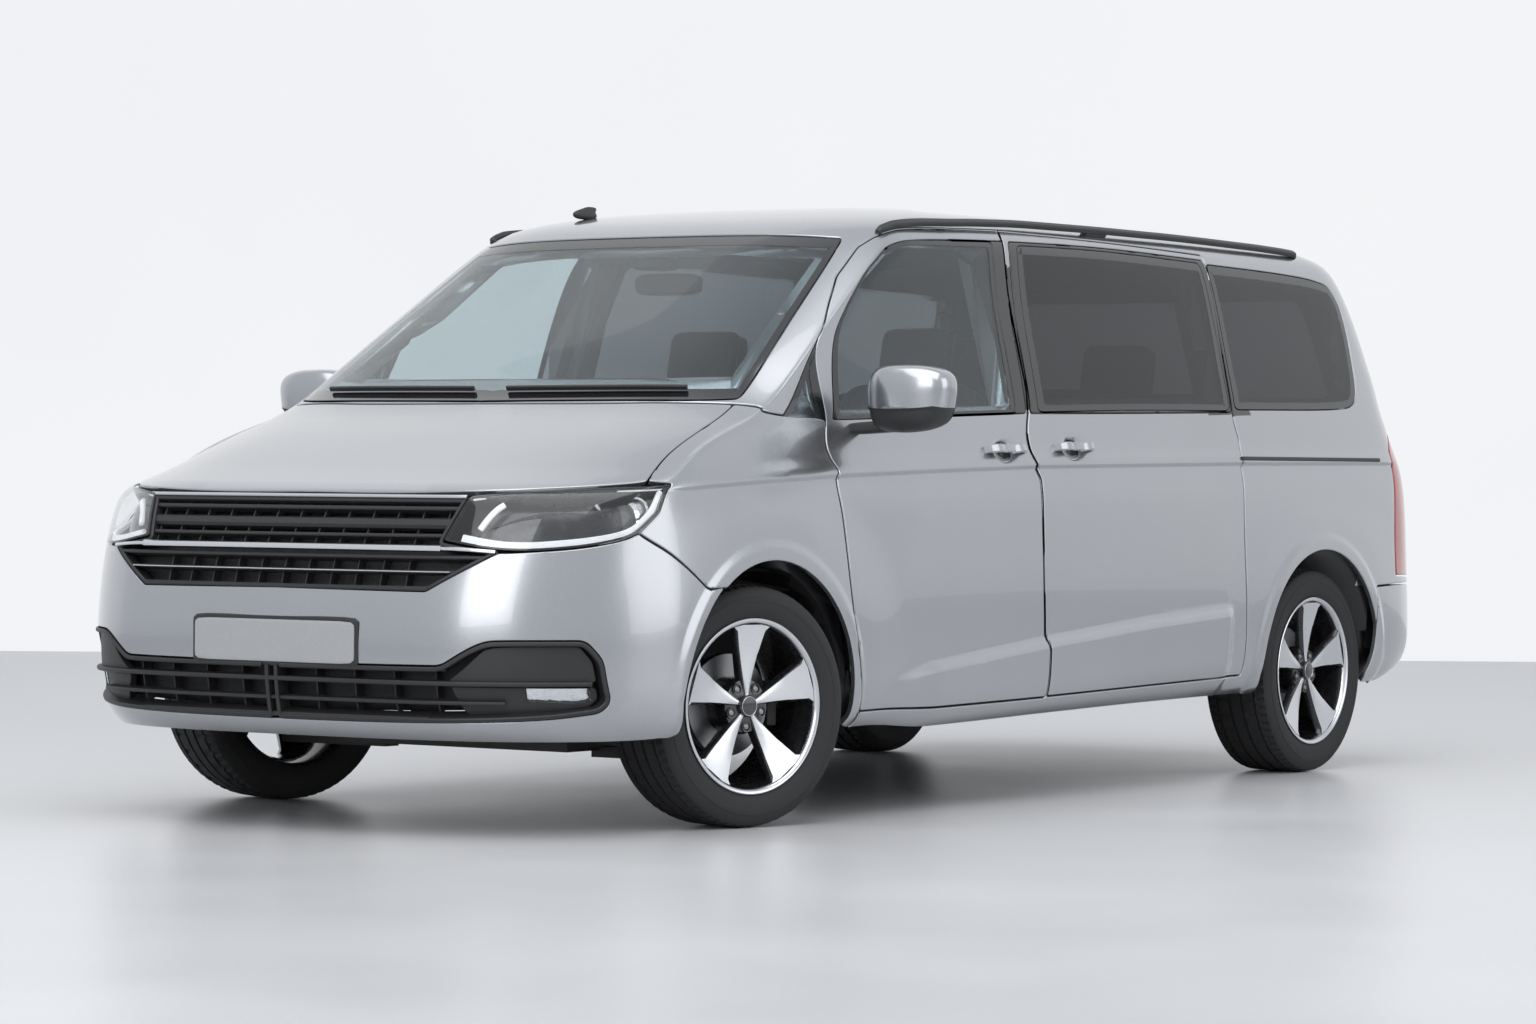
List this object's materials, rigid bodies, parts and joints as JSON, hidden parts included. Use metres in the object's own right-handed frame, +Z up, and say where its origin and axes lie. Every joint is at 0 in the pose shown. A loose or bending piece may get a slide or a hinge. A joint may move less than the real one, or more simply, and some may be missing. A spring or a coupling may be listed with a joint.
{
  "type": "van",
  "caption": "Mid-size passenger van with hinged front doors, bonnet and tailgate, fixed sliding doors, steered front wheels, roof rails and a hollow cabin with seats.",
  "frame": {"origin": "on the ground under the middle of the body's length and width", "axes": "-Y to the front of the van, +X to its left side, +Z up"},
  "size_m": [2.365, 4.9482, 1.785],
  "materials": {
    "paint": "metallic gloss",
    "glass": "tinted",
    "lamp_lens": "clear lens",
    "tail_lamp": "gloss",
    "black_plastic": "satin",
    "tyre": "matt",
    "alloy": "machined",
    "chassis_steel": "matt black",
    "cloth": "woven",
    "engine_iron": "cast"
  },
  "bodies": {
    "body": {"body_shell": "paint", "sliding_door_left": "paint", "sliding_door_right": "paint", "wing_left": "paint", "wing_right": "paint", "front_bumper": "paint", "rear_bumper": "paint", "sliding_door_glass_left": "glass", "sliding_door_glass_right": "glass", "quarter_glass_left": "glass", "quarter_glass_right": "glass", "corner_glass_left": "glass", "corner_glass_right": "glass", "windscreen": "glass", "headlamp_left": "lamp_lens", "headlamp_right": "lamp_lens", "tail_lamp_left": "tail_lamp", "tail_lamp_right": "tail_lamp", "roof_rail_left": "black_plastic", "roof_rail_right": "black_plastic", "grille": "black_plastic", "lower_intake": "black_plastic", "dashboard": "black_plastic", "subframe": "chassis_steel", "front_frame": "chassis_steel", "rear_axle": "chassis_steel", "front_seat_left": "cloth", "front_seat_right": "cloth", "middle_bench": "cloth", "rear_bench": "cloth", "engine": "engine_iron"},
    "front_door_left_body": {"front_door_left": "paint", "front_door_glass_left": "glass"},
    "front_door_right_body": {"front_door_right": "paint", "front_door_glass_right": "glass"},
    "bonnet_body": {"bonnet": "paint"},
    "tailgate_body": {"tailgate": "paint", "tailgate_glass": "glass"},
    "knuckle_left_body": {"knuckle_left": "chassis_steel"},
    "knuckle_right_body": {"knuckle_right": "chassis_steel"},
    "front_wheel_left": {"front_tyre_left": "tyre", "front_rim_left": "alloy"},
    "front_wheel_right": {"front_tyre_right": "tyre", "front_rim_right": "alloy"},
    "rear_wheel_left": {"rear_tyre_left": "tyre", "rear_rim_left": "alloy"},
    "rear_wheel_right": {"rear_tyre_right": "tyre", "rear_rim_right": "alloy"},
    "steering_wheel_body": {"steering_wheel": "black_plastic"}
  },
  "joints": [
    {"name": "front_door_left_hinge", "type": "hinge", "parent": "body", "child": "front_door_left_body", "pos_m": [0.965, -1.155, 0.62], "axis": [0, 0, -1], "range_deg": [0, 70]},
    {"name": "front_door_right_hinge", "type": "hinge", "parent": "body", "child": "front_door_right_body", "pos_m": [-0.965, -1.155, 0.62], "axis": [0, 0, 1], "range_deg": [0, 70]},
    {"name": "bonnet_hinge", "type": "hinge", "parent": "body", "child": "bonnet_body", "pos_m": [0, -1.5, 1.16], "axis": [-1, 0, 0], "range_deg": [0, 60]},
    {"name": "tailgate_hinge", "type": "hinge", "parent": "body", "child": "tailgate_body", "pos_m": [0, 2.141, 1.67254], "axis": [1, 0, 0], "range_deg": [0, 80]},
    {"name": "left_steer", "type": "hinge", "parent": "body", "child": "knuckle_left_body", "pos_m": [0.751, -1.517, 0.33], "axis": [0, 0, 1], "range_deg": [-20.6, 49.4]},
    {"name": "right_steer", "type": "hinge", "parent": "body", "child": "knuckle_right_body", "pos_m": [-0.751, -1.517, 0.33], "axis": [0, 0, 1], "range_deg": [-20.6, 49.4]},
    {"name": "front_left_spin", "type": "hinge", "parent": "knuckle_left_body", "child": "front_wheel_left", "pos_m": [0.751, -1.517, 0.33], "axis": [0.9686, -0.2487, 0], "continuous": true},
    {"name": "front_right_spin", "type": "hinge", "parent": "knuckle_right_body", "child": "front_wheel_right", "pos_m": [-0.751, -1.517, 0.33], "axis": [0.9686, -0.2487, 0], "continuous": true},
    {"name": "rear_left_spin", "type": "hinge", "parent": "body", "child": "rear_wheel_left", "pos_m": [0.93, 1.603, 0.33], "axis": [1, 0, 0], "continuous": true},
    {"name": "rear_right_spin", "type": "hinge", "parent": "body", "child": "rear_wheel_right", "pos_m": [-0.93, 1.603, 0.33], "axis": [1, 0, 0], "continuous": true},
    {"name": "steering_wheel_turn", "type": "hinge", "parent": "body", "child": "steering_wheel_body", "pos_m": [0.4, -0.8, 1.02], "axis": [0, 0.8829, 0.4695], "range_deg": [-288.4, 691.6]}
  ],
  "couplings": [
    {"joint": "right_steer", "follows": "left_steer", "ratio": 1},
    {"joint": "steering_wheel_turn", "follows": "left_steer", "ratio": 14}
  ]
}
